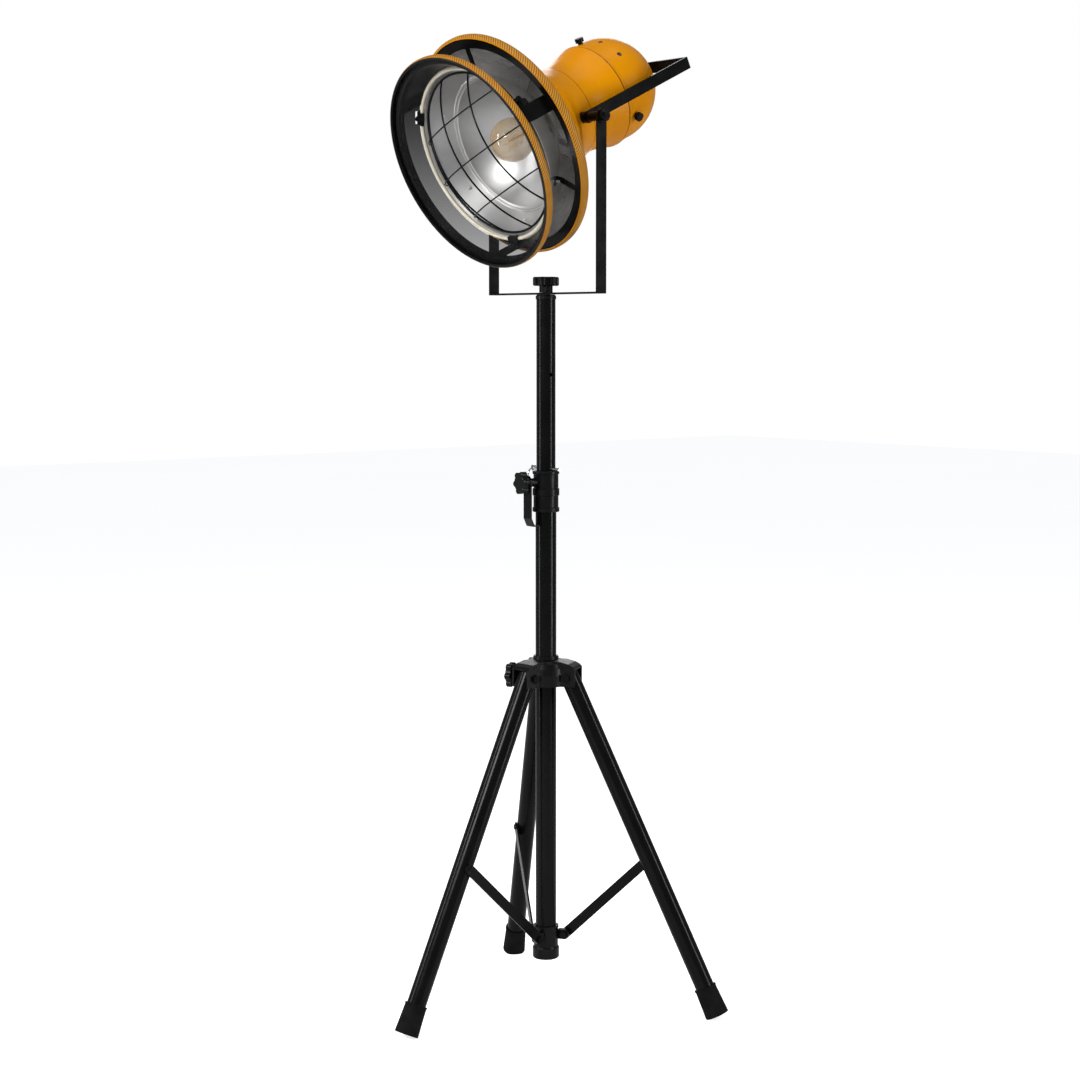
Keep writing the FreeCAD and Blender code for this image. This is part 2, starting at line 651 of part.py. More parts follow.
def cap_blank():
    outer = dome_face(CAP_R - 1.5, CAP_FRONT_S).revolve(V(0, 0, 0), AXIS_Y, 360)
    inner = dome_face(CAP_R - 1.5 - SHEET, CAP_FRONT_S - 5).revolve(V(0, 0, 0), AXIS_Y, 360)
    bead = head_bead(CAP_FRONT_S + 2.0, CAP_R - 2.0, 2.0)
    return fuse_all([outer, bead]).cut(inner)


def gland_frame():
    """Where the cable gland stands on the cap, and its axis, low at the rear."""
    slope = math.radians(42.0)
    axis = V(0, math.cos(slope), -math.sin(slope))
    return V(0, CAP_DOME_S, 0) + axis * (CAP_R - 1.5), axis


def rear_cap():
    drills = [cylinder(head_point(THUMB_S, 80.0, a), about_head(a), 2.6, 15.0) for a in THUMB_ANGLES]
    drills += [cylinder(head_point(VENT_S, 70.0, a), about_head(a), 4.5, 30.0) for a in VENT_ANGLES]
    seat, axis = gland_frame()
    drills.append(cylinder(seat - axis * 10, axis, 8.0 + FIT, 20.0))
    return place_head(cut_all(cap_blank(), drills))


def cable_gland():
    """Gland body through the cap, a lock nut inside and a round nut outside.  The lead isn't made."""
    seat, axis = gland_frame()
    body = cylinder(seat - axis * 9.0, axis, 8.0, 12.0)
    lock_nut = hex_prism(seat - axis * 7.6, axis, 22.0, 5.0)
    collar = hex_prism(seat + axis * 0.3, axis, 20.0, 5.0)
    dome = Part.makeCone(9.4, 5.6, 9.0, seat + axis * 5.3, axis)
    gland = fuse_all([body, lock_nut, collar, dome])
    return place_head(gland.cut(cylinder(seat - axis * 12, axis, 3.2, 40.0)))


def thumb_screw(angle):
    """Knurled black screw that holds the cap on the neck."""
    axis = about_head(angle)
    shank = cylinder(head_point(THUMB_S, 82.0, angle), axis, 2.5, 8.8)
    collar = cylinder(head_point(THUMB_S, CAP_R - 1.2, angle), axis, 4.6, 3.2)
    head = Part.makeCylinder(7.4, 7.0)
    notches = []
    for index in range(12):
        turn = 2 * math.pi * index / 12
        notches.append(Part.makeCylinder(0.9, 9.0, V(7.7 * math.cos(turn), 7.7 * math.sin(turn), -1)))
    head = aim(cut_all(head, notches), head_point(THUMB_S, CAP_R + 2.0, angle), axis)
    return place_head(fuse_all([shank, collar, head]))


def front_ring():
    return place_head(rim_band(FRONT_RING_S, FRONT_RING_R))


def front_ring_liner():
    """Black ring inside the front ring, with a tapered rear half."""
    front = FRONT_RING_S - RIM_HALF_WIDTH
    rear = FRONT_RING_S + 13.5
    inner = FRONT_RING_R - 4.5 - FIT
    return place_head(head_turned([(front + 0.6, inner - 2.0), (front + 0.6, inner), (front + 12.0, inner),
                                   (rear, inner - 7.3), (rear, inner - 9.3), (front + 11.0, inner - 2.0)]))


def smoked_collar():
    """Tinted cone from the front ring's liner to the reflector's mouth, notched for the guard's clips."""
    front = COLLAR_LIP_S - 2.0
    cone = head_turned([(front, COLLAR_R), (COLLAR_LIP_S, COLLAR_R), (COLLAR_LIP_S, COLLAR_R - 6.4),
                        (COLLAR_REAR_S, COLLAR_REAR_R + 2.1), (COLLAR_REAR_S, COLLAR_REAR_R),
                        (front, COLLAR_R - 7.8)])
    notch = Part.makeBox(26.0, 10.0, 25.0, V(-13.0, -50.0, 140.0))
    return place_head(cut_all(cone, [spin(notch, angle) for angle in CLIP_ANGLES]))


def bell_trim_ring():
    """Black L-section ring in the bell's mouth."""
    outer = RIM_R - 4.5 - FIT
    return place_head(head_turned([(-4.0, 167.5), (-4.0, outer), (4.9, outer), (4.9, outer - 2.0),
                                   (-2.0, outer - 2.0), (-2.0, 167.5)]))


def ring_straps():
    """Three wide straps that carry the front ring on the bell's trim ring."""
    line = [(-5.0 - FIT, 180.5), (-5.0 - FIT, 168.6), (FRONT_RING_S + 14.0, FRONT_RING_R - 16.0),
            (FRONT_RING_S + 2.0, FRONT_RING_R - 8.8)]
    strap = bent_strip(line, 2.0, 28.0)
    front = COLLAR_LIP_S + GAP
    keep = head_turned([(front, 100), (front, FRONT_RING_R - 6.7), (FRONT_RING_S + 4.0, FRONT_RING_R - 7.4),
                        (FRONT_RING_S + 13.5, FRONT_RING_R - 13.9), (-40, 178), (0, 190), (0, 100)])
    strap = strap.common(keep)
    return place_head(group([spin(strap, angle) for angle in STRAP_ANGLES]))


def reflector_wall_r(s):
    """Inner radius of the reflector's tapered front wall."""
    share = (s - REFLECTOR_RIM_S) / (REFLECTOR_STEP_S - REFLECTOR_RIM_S)
    return REFLECTOR_RIM_R + share * (REFLECTOR_STEP_R - REFLECTOR_RIM_R)


def reflector():
    wall = head_turned([(REFLECTOR_RIM_S, REFLECTOR_RIM_R), (REFLECTOR_STEP_S, REFLECTOR_STEP_R),
                        (REFLECTOR_STEP_S, 114.5), (REFLECTOR_STEP_S + SHEET, 112.0),
                        (REFLECTOR_STEP_S + SHEET, REFLECTOR_STEP_R + 1.6),
                        (REFLECTOR_RIM_S, REFLECTOR_RIM_R + 1.8)])
    bead = head_bead(REFLECTOR_RIM_S, REFLECTOR_RIM_R, REFLECTOR_BEAD_R)
    step = head_bead(REFLECTOR_STEP_S, REFLECTOR_STEP_R, 1.6)
    bowl = spun_shell([(s, r + 1.4) for s, r in BOWL_OUTLINE], SHEET)
    whole = fuse_all([wall, bead, step, bowl])
    drills = [reflector_screw_hole(angle) for angle in STANDOFF_ANGLES + CLIP_ANGLES]
    return place_head(cut_all(whole, drills))


def reflector_normal(angle):
    """Outward normal of the reflector's tapered wall."""
    fall = (REFLECTOR_RIM_R - REFLECTOR_STEP_R) / (REFLECTOR_STEP_S - REFLECTOR_RIM_S)
    return (about_head(angle) + AXIS_Y * fall).normalize()


def reflector_screw_hole(angle):
    start = head_point(SCREW_S, reflector_wall_r(SCREW_S), angle)
    axis = reflector_normal(angle)
    return cylinder(start - axis * 5.0, axis, 2.0 + FIT, 14.0)


def standoff_strip():
    """Thin strap from the trim ring to the reflector's wall, at the top of the head."""
    lift = 1.9 + 0.75
    foot_front = (-16.0, reflector_wall_r(-16.0) + lift)
    foot_rear = (-4.5, reflector_wall_r(-4.5) + lift)
    return bent_strip([(-1.2, 180.0), (-1.2, 134.0), foot_rear, foot_front], 1.5, 10.0)


def outside_reflector():
    """Envelope that trims a strap to the reflector's outer face."""
    front = REFLECTOR_RIM_R + 1.8 + FIT
    return head_turned([(REFLECTOR_RIM_S - 8, 0), (REFLECTOR_RIM_S - 8, front), (REFLECTOR_RIM_S, front),
                        (REFLECTOR_STEP_S + SHEET, REFLECTOR_STEP_R + 1.6 + FIT),
                        (REFLECTOR_STEP_S + SHEET, 0)])


def reflector_standoffs():
    strip = standoff_strip()
    keep = head_turned([(-2.0 + FIT, 100), (-2.0 + FIT, 182.3), (4.0, 182.3), (4.0, 100)])
    front = head_turned([(-30.0, 100), (-30.0, 166.0), (-1.9, 166.0), (-1.9, 100)])
    strip = fuse_all([strip.common(keep), strip.common(front)])
    strip = strip.cut(outside_reflector()).cut(reflector_screw_hole(0.0))
    return place_head(group([spin(strip, angle) for angle in STANDOFF_ANGLES]))


def guard_clips():
    """Clips that hold the guard in the reflector's mouth, each with a small round nut."""
    line = [(-6.0, reflector_wall_r(-6.0) + 2.7), (-31.0, reflector_wall_r(-31.0) + 2.7), (-37.0, 153.4),
            (-46.6, 153.4), (-46.6, 143.6), (-42.0, 142.6)]
    strip = bent_strip(line, 1.6, 24.0)
    bead = head_bead(REFLECTOR_RIM_S, REFLECTOR_RIM_R, REFLECTOR_BEAD_R + FIT)
    strip = strip.cut(outside_reflector()).fuse(strip.common(head_turned([(-48, 130), (-48, 160), (-40, 160),
                                                                           (-40, 130)])))
    strip = strip.removeSplitter().cut(bead).cut(reflector_screw_hole(0.0))
    nut = cylinder(V(-7.0, -41.8, 154.0), AXIS_Z, 4.4, 7.0)
    clip = fuse_all([strip, nut])
    return place_head(group([spin(clip, angle) for angle in CLIP_ANGLES]))


def reflector_screws():
    """Small round-headed screws through the reflector's wall."""
    screws = []
    for angle in STANDOFF_ANGLES + CLIP_ANGLES:
        start = head_point(SCREW_S, reflector_wall_r(SCREW_S), angle)
        axis = reflector_normal(angle)
        shank = cylinder(start - axis * 1.0, axis, 2.0, 10.0)
        head = Part.makeCone(2.4, 3.8, 2.0, start - axis * (2.0 + FIT), axis)
        screws.append(fuse_all([shank, head]))
    return place_head(group(screws))


def guard_sphere():
    """Radius of the guard's dome, and where its centre lies on the head's axis."""
    radius = (GUARD_RING_R ** 2 + GUARD_HEIGHT ** 2) / (2 * GUARD_HEIGHT)
    return radius, GUARD_RING_S - GUARD_HEIGHT + radius


def guard_arc(offset, wire_r, turn, lift):
    """Wire that follows the dome in a plane at an offset from the head's axis."""
    dome_r, centre_s = guard_sphere()
    dome_r += lift
    section_r = math.sqrt(dome_r ** 2 - offset ** 2)
    reach = math.sqrt((GUARD_RING_R - 1.0) ** 2 - offset ** 2)
    half = math.degrees(math.asin(reach / section_r))
    wire = Part.makeTorus(section_r, wire_r, V(offset, centre_s, 0), AXIS_X, 0, 360, 2 * half)
    wire.rotate(V(offset, centre_s, 0), AXIS_X, arc_start(wire, offset, centre_s, half))
    return wire.rotate(V(0, 0, 0), AXIS_Y, turn)


def arc_start(wire, offset, centre_s, half):
    """Turn about X that brings the middle of a partial torus to the front."""
    centre = wire.CenterOfMass
    angle = math.degrees(math.atan2(centre.z, centre.y - centre_s))
    return 180.0 - angle


def guard_ring():
    """Round wire ring that the guard's wires are welded to."""
    return place_head(head_bead(GUARD_RING_S, GUARD_RING_R, 2.0))


def wire_guard():
    """Three wires one way over three the other, bent to a shallow dome."""
    ring_wire = head_bead(GUARD_RING_S, GUARD_RING_R, 2.0)
    wires = []
    for index in (-1, 0, 1):
        wires.append(guard_arc(index * GUARD_PITCH, 1.5, -GUARD_TURN, 0.0))
    for index in (-1, 0, 1):
        wires.append(guard_arc(index * GUARD_PITCH, 1.2, 90.0 - GUARD_TURN, 2.75))
    return place_head(group([wire.cut(ring_wire) for wire in wires]))


# ---------------------------------------------------------------- lamp and holder

def bulb_profile(radius, neck_r, tail):
    """Half section of a globe with a waisted neck, filled to the axis."""
    lean = math.asin(neck_r / radius) + math.radians(9.0)
    join = V(0, BULB_S + radius * math.cos(lean), radius * math.sin(lean))
    front = V(0, BULB_S - radius, 0)
    crown = V(0, BULB_S, radius)
    globe = Part.Arc(front, crown, join)
    neck_end = V(0, tail, neck_r - 1.5)
    slope = V(0, math.sin(lean), -math.cos(lean))
    neck = Part.BSplineCurve()
    neck.interpolate([join, neck_end], Tangents=[slope, V(0, 1, 0)], TangentFlags=[True, True])
    edges = [globe.toShape(), neck.toShape(), Part.makeLine(neck_end, V(0, tail, 0)),
             Part.makeLine(V(0, tail, 0), front)]
    return Part.Face(Part.Wire(edges))


def bulb_glass():
    outer = bulb_profile(BULB_R, 15.0, 66.0).revolve(V(0, 0, 0), AXIS_Y, 360)
    inner = bulb_profile(BULB_R - 1.0, 14.0, 67.0).revolve(V(0, 0, 0), AXIS_Y, 360)
    return place_head(outer.cut(inner))


def bulb_base():
    """Screw base with rounded thread rings and a contact."""
    points = [(66.0 + FIT, 0), (66.0 + FIT, 13.6), (70.0, 13.6)]
    for turn in range(5):
        start = 70.0 + turn * 3.6
        points += [(start + 0.9, 12.4), (start + 1.8, 12.4), (start + 2.7, 13.3), (start + 3.6, 13.3)]
    points += [(89.0, 11.5), (91.5, 6.0), (91.5, 4.5), (93.0, 4.5), (93.0, 0)]
    return place_head(head_turned(points))


def filament():
    """Glass stem with a cage of thin wire around it."""
    stem = head_turned([(65.9, 0), (65.9, 7.0), (52.0, 4.0), (38.0, 2.2), (12.0, 1.6), (12.0, 0)])
    wires = []
    count = 8
    for index in range(count):
        first = 360.0 * index / count
        second = 360.0 * (index + 0.5) / count
        third = 360.0 * (index + 1) / count
        rear = head_point(40.0, 12.0, first)
        front = head_point(8.0, 14.0, second)
        after = head_point(40.0, 12.0, third)
        wires.append(cylinder_between(rear, front, 0.35))
        wires.append(cylinder_between(front, after, 0.35))
    posts = [cylinder_between(head_point(50.0, 3.0, a), head_point(39.6, 12.2, a), 0.5) for a in (0.0, 180.0)]
    cage = fuse_all(wires + posts + [stem])
    return place_head(cage)


def lampholder():
    return place_head(head_turned([(68.0, 14.2), (68.0, 19.0), (70.0, 20.0), (84.0, 20.0), (86.0, 21.5),
                                   (104.0, 21.5), (108.0, 19.0), (108.0, 0), (94.0, 0), (94.0, 14.2)]))


def holder_bracket():
    """Bent steel strip across the neck that carries the lampholder."""
    line = [(166.0, 77.2), (150.0, 76.0), (109.0 + FIT, 32.0), (109.0 + FIT, -32.0), (150.0, -76.0),
            (166.0, -77.2)]
    strip = bent_strip(line, 2.0, 22.0)
    keep = spun_envelope([(s, r - SHEET - 0.1) for s, r in NECK_OUTLINE], 100.0)
    return place_head(strip.common(keep))


def spun_envelope(outline, front):
    """Filled solid inside a spun outline, carried forward to a start."""
    points = [V(0, s, r) for s, r in outline]
    curve = Part.BSplineCurve()
    curve.interpolate(points)
    first, last = points[0], points[-1]
    corner = V(0, front, first.z)
    edges = [curve.toShape(), Part.makeLine(last, V(0, last.y, 0)),
             Part.makeLine(V(0, last.y, 0), V(0, front, 0)), Part.makeLine(V(0, front, 0), corner),
             Part.makeLine(corner, first)]
    return Part.Face(Part.Wire(Part.__sortEdges__(edges))).revolve(V(0, 0, 0), AXIS_Y, 360)


# ---------------------------------------------------------------- handle and tilt pivot

def handle():
    """Flat U bar along the head, fixed on the tilt bolts, with its crossbar behind the cap."""
    middle = HANDLE_HALF + BAR_THICK / 2.0
    back = TILT_S + HANDLE_LENGTH
    strip = bent_strip([(-middle, TILT_S), (-middle, back), (middle, back), (middle, TILT_S)],
                       BAR_THICK, YOKE_BAR_WIDTH)
    strip.rotate(V(0, 0, 0), V(1, 1, 1), -120)
    ends = []
    for side in (-1, 1):
        start = V(side * HANDLE_HALF, TILT_S, 0)
        ends.append(cylinder(start, AXIS_X * side, YOKE_BAR_WIDTH / 2.0, BAR_THICK))
    bar = fuse_all([strip] + ends)
    return place_head(cut_all(bar, tilt_holes()))


def tilt_bolts():
    bolts = []
    for side in (-1, 1):
        axis = AXIS_X * side
        head = hex_prism(V(side * 84.0, TILT_S, 0), axis, 13.0, 5.0)
        shank = cylinder(V(side * 88.9, TILT_S, 0), axis, TILT_BOLT_R, 152.0 - 88.9)
        bolts.append(fuse_all([head, shank]))
    return place_head(group(bolts))


def tilt_spacers():
    """Sleeves on the tilt bolts: bell to handle, and handle to yoke."""
    bell_inside = spun_envelope([(s, r + 0.03) for s, r in BELL_OUTLINE], 0.0)
    sleeves = []
    for side in (-1, 1):
        axis = AXIS_X * side
        outer_start = HANDLE_HALF + BAR_THICK + FIT
        inner = cylinder(V(side * 86.0, TILT_S, 0), axis, 9.5, HANDLE_HALF - FIT - 86.0).cut(bell_inside)
        outer = cylinder(V(side * outer_start, TILT_S, 0), axis, 8.0, YOKE_INNER_HALF - GAP - outer_start)
        sleeves += [inner, outer]
    bore = cylinder(V(-150, TILT_S, 0), AXIS_X, TILT_BOLT_R + FIT, 300)
    return place_head(group([sleeve.cut(bore) for sleeve in sleeves]))


def tilt_knob(side):
    """Round black hand nut outside the yoke."""
    axis = AXIS_X * side
    start = V(side * (YOKE_INNER_HALF + BAR_THICK + GAP), TILT_S, 0)
    flange = cylinder(start, axis, 12.0, 2.6)
    body = cylinder(start + axis * 2.6, axis, 9.6, 7.0)
    crown = Part.makeCone(9.6, 5.0, 4.0, start + axis * 9.6, axis)
    knob = fuse_all([flange, body, crown])
    bore = cylinder(start - axis, axis, TILT_BOLT_R + RUNNING, 152.5 - YOKE_INNER_HALF - BAR_THICK - GAP + 1)
    return place_head(knob.cut(bore))


# ---------------------------------------------------------------- export

def build():
    nodes = {
        "lower_tube": lower_tube(), "tube_bottom_plug": tube_bottom_plug(), "bottom_collar": bottom_collar(),
        "brace_pivot_bolts": brace_pivot_bolts(), "clamp_collar": clamp_collar(), "clamp_liner": clamp_liner(),
        "cable_hook": cable_hook(), "clamp_knob": clamp_knob(),
        "tripod_hub": tripod_hub(), "hub_bush": hub_bush(), "leg_pivot_bolts": leg_pivot_bolts(),
        "hub_knob": hub_knob(),
        "upper_tube": upper_tube(), "tube_cap": tube_cap(), "top_stud": top_stud(),
        "lock_pin": lock_pin(), "pin_ring": pin_ring(),
        "yoke": yoke(), "yoke_washer": yoke_washer(), "yoke_knob": yoke_knob(),
        "bell_housing": bell_housing(), "neck_housing": neck_housing(), "rear_cap": rear_cap(),
        "cable_gland": cable_gland(), "front_ring": front_ring(), "front_ring_liner": front_ring_liner(),
        "smoked_collar": smoked_collar(),
        "bell_trim_ring": bell_trim_ring(), "ring_straps": ring_straps(), "reflector": reflector(),
        "reflector_standoffs": reflector_standoffs(), "guard_clips": guard_clips(),
        "reflector_screws": reflector_screws(), "guard_ring": guard_ring(), "wire_guard": wire_guard(),
        "bulb_glass": bulb_glass(), "bulb_base": bulb_base(), "filament": filament(),
        "lampholder": lampholder(), "holder_bracket": holder_bracket(), "handle": handle(),
        "tilt_bolts": tilt_bolts(), "tilt_spacers": tilt_spacers(),
        "tilt_knob_right": tilt_knob(1), "tilt_knob_left": tilt_knob(-1),
    }
    for index in range(LEG_COUNT):
        azimuth = LEG_TURN + index * 360.0 / LEG_COUNT
        number = str(index + 1)
        nodes["leg_tube_" + number] = leg_tube(azimuth)
        nodes["rubber_boot_" + number] = rubber_boot(azimuth)
        nodes["brace_bar_" + number] = brace_bar(azimuth)
        nodes["brace_rivet_" + number] = brace_rivet(azimuth)
    for index, angle in enumerate(THUMB_ANGLES):
        nodes["thumb_screw_" + str(index + 1)] = thumb_screw(angle)
    return nodes


os.makedirs("parts", exist_ok=True)
for name, shape in build().items():
    kinds = len(shape.Solids)
    good = shape.isValid() and kinds > 0 and all(solid.Volume > 0 for solid in shape.Solids)
    print(name, kinds, "solids", round(shape.Volume), "mm3", "ok" if good else "BAD")
    shape.exportStep("parts/" + name + ".step")
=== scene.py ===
"""Looks for the tripod work light: materials for the CAD nodes, knurled rims and the studio."""

import json
import math

import bmesh
import bpy
from mathutils import Euler, Matrix, Vector


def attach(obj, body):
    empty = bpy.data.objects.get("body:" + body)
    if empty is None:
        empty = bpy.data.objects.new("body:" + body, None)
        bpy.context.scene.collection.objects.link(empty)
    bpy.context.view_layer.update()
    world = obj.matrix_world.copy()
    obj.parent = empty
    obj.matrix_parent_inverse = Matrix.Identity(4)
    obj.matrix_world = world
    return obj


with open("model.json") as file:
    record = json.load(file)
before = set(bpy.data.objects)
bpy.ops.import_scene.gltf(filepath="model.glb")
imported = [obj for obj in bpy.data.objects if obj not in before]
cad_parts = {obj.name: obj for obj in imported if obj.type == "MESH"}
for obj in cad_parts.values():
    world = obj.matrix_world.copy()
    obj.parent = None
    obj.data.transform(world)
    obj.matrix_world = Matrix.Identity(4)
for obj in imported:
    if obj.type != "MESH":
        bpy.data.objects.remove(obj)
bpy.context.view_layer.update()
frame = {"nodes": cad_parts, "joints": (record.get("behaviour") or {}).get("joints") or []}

MM = 0.001

# ---------------------------------------------------------------- the head's own frame
# Local x is the tilt axis, y runs backwards along the lamp's axis from the tilt axis, z is up.

JOINTS = {joint["name"]: joint for joint in frame["joints"]}
TILT_POINT = Vector(JOINTS["tilt"]["pos_m"])
TILT_AXIS = Vector(JOINTS["tilt"]["axis"])
HEAD_UP = Vector(JOINTS["thumb_screw_turn_1"]["axis"])
HEAD_BACK = HEAD_UP.cross(TILT_AXIS)
HEAD = Matrix.Translation(TILT_POINT) @ Matrix((TILT_AXIS, HEAD_BACK, HEAD_UP)).transposed().to_4x4()
RIM_TO_TILT = 101 * MM
FACES_OUT_SLACK = -4.0 * MM     # lets edges that look straight along the axis count as outside


def along(s):
    """Local y of a plane s millimetres behind the bell's rim; s is negative in front of it."""
    return s * MM - RIM_TO_TILT


# ---------------------------------------------------------------- shader helpers

class Shader:
    """One material and short ways to add nodes to it."""

    def __init__(self, name, **values):
        self.material = bpy.data.materials.new(name)
        self.material.use_nodes = True
        self.tree = self.material.node_tree
        self.surface = self.tree.nodes["Principled BSDF"]
        self.height = None
        for key, value in values.items():
            self.surface.inputs[key.replace("_", " ").title().replace("Ior", "IOR")].default_value = value

    def node(self, kind, **settings):
        made = self.tree.nodes.new(kind)
        for key, value in settings.items():
            setattr(made, key, value)
        return made

    def link(self, source, target):
        self.tree.links.new(source, target)

    def place(self):
        """Coordinates in the object's own space, in metres."""
        return self.node("ShaderNodeTexCoord").outputs["Object"]

    def math(self, operation, first, second=0.0, clamp=False):
        made = self.node("ShaderNodeMath", operation=operation, use_clamp=clamp)
        for socket, value in zip(made.inputs, (first, second)):
            if isinstance(value, (int, float)):
                socket.default_value = value
            else:
                self.link(value, socket)
        return made.outputs[0]

    def noise(self, scale, detail=4.0, rough=0.55, stretch=(1, 1, 1)):
        mapping = self.node("ShaderNodeMapping")
        mapping.inputs["Scale"].default_value = stretch
        self.link(self.place(), mapping.inputs["Vector"])
        made = self.node("ShaderNodeTexNoise")
        made.inputs["Scale"].default_value = scale
        made.inputs["Detail"].default_value = detail
        made.inputs["Roughness"].default_value = rough
        self.link(mapping.outputs[0], made.inputs["Vector"])
        return made.outputs["Fac"]

    def ramp(self, factor, stops):
        """Colours (or greys) along a factor; stops are (position, colour)."""
        made = self.node("ShaderNodeValToRGB")
        elements = made.color_ramp.elements
        while len(elements) < len(stops):
            elements.new(0.5)
        for element, (position, colour) in zip(elements, stops):
            element.position = position
            element.color = colour if len(colour) == 4 else (*colour, 1.0)
        self.link(factor, made.inputs["Fac"])
        return made.outputs["Color"]

    def grey(self, factor, low, high, start=0.3, end=0.7):
        return self.ramp(factor, [(start, (low,) * 3), (end, (high,) * 3)])

    def mix(self, factor, first, second):
        made = self.node("ShaderNodeMix", data_type="RGBA")
        self.link(factor, made.inputs["Factor"])
        for name, value in (("A", first), ("B", second)):
            socket = [i for i in made.inputs if i.name == name and i.type == "RGBA"][0]
            if isinstance(value, tuple):
                socket.default_value = (*value, 1.0)
            else:
                self.link(value, socket)
        return [o for o in made.outputs if o.type == "RGBA"][0]

    def colour(self, value):
        self.link(value, self.surface.inputs["Base Color"])

    def roughness(self, value):
        self.link(value, self.surface.inputs["Roughness"])

    def metallic(self, value):
        self.link(value, self.surface.inputs["Metallic"])

    def bump(self, height, depth_mm, strength=1.0):
        """Raise the surface by height times a depth; several bumps add up."""
        made = self.node("ShaderNodeBump")
        made.inputs["Strength"].default_value = strength
        made.inputs["Distance"].default_value = depth_mm * MM
        self.link(height, made.inputs["Height"])
        if self.height is not None:
            self.link(self.height, made.inputs["Normal"])
        self.height = made.outputs["Normal"]
        self.link(self.height, self.surface.inputs["Normal"])

    def facing(self, blend=0.4):
        """0 where the surface faces the eye, 1 at its outline."""
        made = self.node("ShaderNodeLayerWeight")
        made.inputs["Blend"].default_value = blend
        return made.outputs["Facing"]

    def band(self, value, low, high):
        """1 where a value lies between two limits."""
        above = self.math("GREATER_THAN", value, low)
        return self.math("MULTIPLY", above, self.math("LESS_THAN", value, high))

    def in_head(self, coordinate, moved):
        """(x, y, z) of a texture coordinate in the head's frame; a direction turns but isn't moved."""
        inverse = HEAD.inverted()
        mapping = self.node("ShaderNodeMapping")
        mapping.inputs["Rotation"].default_value = inverse.to_euler()
        if moved:
            mapping.inputs["Location"].default_value = inverse.translation
        self.link(self.node("ShaderNodeTexCoord").outputs[coordinate], mapping.inputs["Vector"])
        split = self.node("ShaderNodeSeparateXYZ")
        self.link(mapping.outputs[0], split.inputs[0])
        return split.outputs

    def head_place(self):
        """(radius, along, angle) about the lamp's axis, along measured backwards from the tilt axis."""
        x, y, z = self.in_head("Object", True)
        radius = self.math("SQRT", self.math("ADD", self.math("MULTIPLY", x, x), self.math("MULTIPLY", z, z)))
        return radius, y, self.math("ARCTAN2", x, z)

    def faces_out(self):
        """1 where the surface looks away from the lamp's axis or along it, 0 where it looks towards it."""
        place = self.in_head("Object", True)
        normal = self.in_head("Normal", False)
        product = self.math("ADD", self.math("MULTIPLY", place[0], normal[0]),
                            self.math("MULTIPLY", place[2], normal[2]))
        return self.math("GREATER_THAN", product, FACES_OUT_SLACK)


# ---------------------------------------------------------------- materials

OCHRE = (0.62, 0.238, 0.0)
OCHRE_DEEP = (0.52, 0.188, 0.0)
BRONZE = (0.50, 0.25, 0.03)
# Painted shade: a dark colour for the recesses between the rope's ridges.
GROOVE_SHADE = (0.16, 0.065, 0.01)
# Dark band colour: a dark joint at the rear cap's seam, and painted shade in the crease between bell and
# neck.
SEAM_AND_CREASE_SHADE = (0.10, 0.016, 0.006)
INK = (0.006, 0.006, 0.0065)

# Places along the lamp's axis, in millimetres behind the bell's rim.
CAP_SEAM = (208.4, 210.6)       # between neck and rear cap
NECK_CREASE_SHADE = (135.6, 136.9)      # painted shade in the crease between bell and neck
RING_FRONT_EDGE = -82.6         # black in front of this
REFLECTOR_ROLL = -38.0          # cream in front of this
BELL_RIM_S, BELL_RIM_R = 0.0, 189.0
FRONT_RING_S, FRONT_RING_R = -76.0, 183.0

TURNING_MARKS = 5200.0   # radians of the reflector's turning marks in a metre of radius
SHADE_FOOT_Z = 1.25     # metres above the floor where the painted shade on the smoked collar starts
SHADE_FADE = 2.9        # how fast the painted shade deepens upwards, per metre

ROPE_STRANDS = 230       # ridges round a rim
ROPE_SLANT = 1150.0      # radians that the rope's phase turns by in a metre along the lamp's axis


def ochre_cloud(shader):
    return shader.ramp(shader.noise(7.0), [(0.3, OCHRE_DEEP), (0.7, OCHRE)])


def paint_relief(shader):
    """Orange peel and a faint unevenness of the gloss."""
    shader.roughness(shader.grey(shader.noise(9.0), 0.22, 0.32))
    shader.bump(shader.noise(900.0, 2.0), 0.02, 0.3)


def knurl(shader, y, angle):
    """Slanting rope of a rolled rim: 1 on a ridge, 0 in a groove."""
    slant = shader.math("ADD", shader.math("MULTIPLY", angle, float(ROPE_STRANDS)),
                        shader.math("MULTIPLY", y, ROPE_SLANT))
    return shader.math("ADD", shader.math("MULTIPLY", shader.math("SINE", slant), 0.75), 0.55, clamp=True)


def rope_colour(shader, rope):
    ridge = shader.ramp(shader.noise(60.0), [(0.35, BRONZE), (0.7, OCHRE_DEEP)])
    # The groove colour is painted shade between the ridges; the ridge colour is the rim's own bronze.
    return shader.mix(rope, GROOVE_SHADE, ridge)


def housing_paint():
    """Ochre paint outside with a dark joint at the rear cap and painted shade in the crease between bell and
    neck, bare satin metal inside.
    """
    shader = Shader("housing_paint", specular_ior_level=0.09)
    outside = shader.faces_out()
    y = shader.head_place()[1]
    # The band at the cap is a dark joint; the band at the neck is painted shade in the concave crease between
    # bell and neck.
    seam_and_crease_shade = shader.math("MAXIMUM", shader.band(y, *map(along, CAP_SEAM)),
                        shader.band(y, *map(along, NECK_CREASE_SHADE)))
    paint = shader.mix(seam_and_crease_shade, ochre_cloud(shader), SEAM_AND_CREASE_SHADE)
    inside = shader.ramp(shader.noise(30.0), [(0.3, (0.60, 0.59, 0.58)), (0.7, (0.74, 0.73, 0.72))])
    shader.colour(shader.mix(outside, inside, paint))
    shader.metallic(shader.math("MULTIPLY", shader.math("SUBTRACT", 1.0, outside), 0.15))
    paint_relief(shader)
    return shader.material


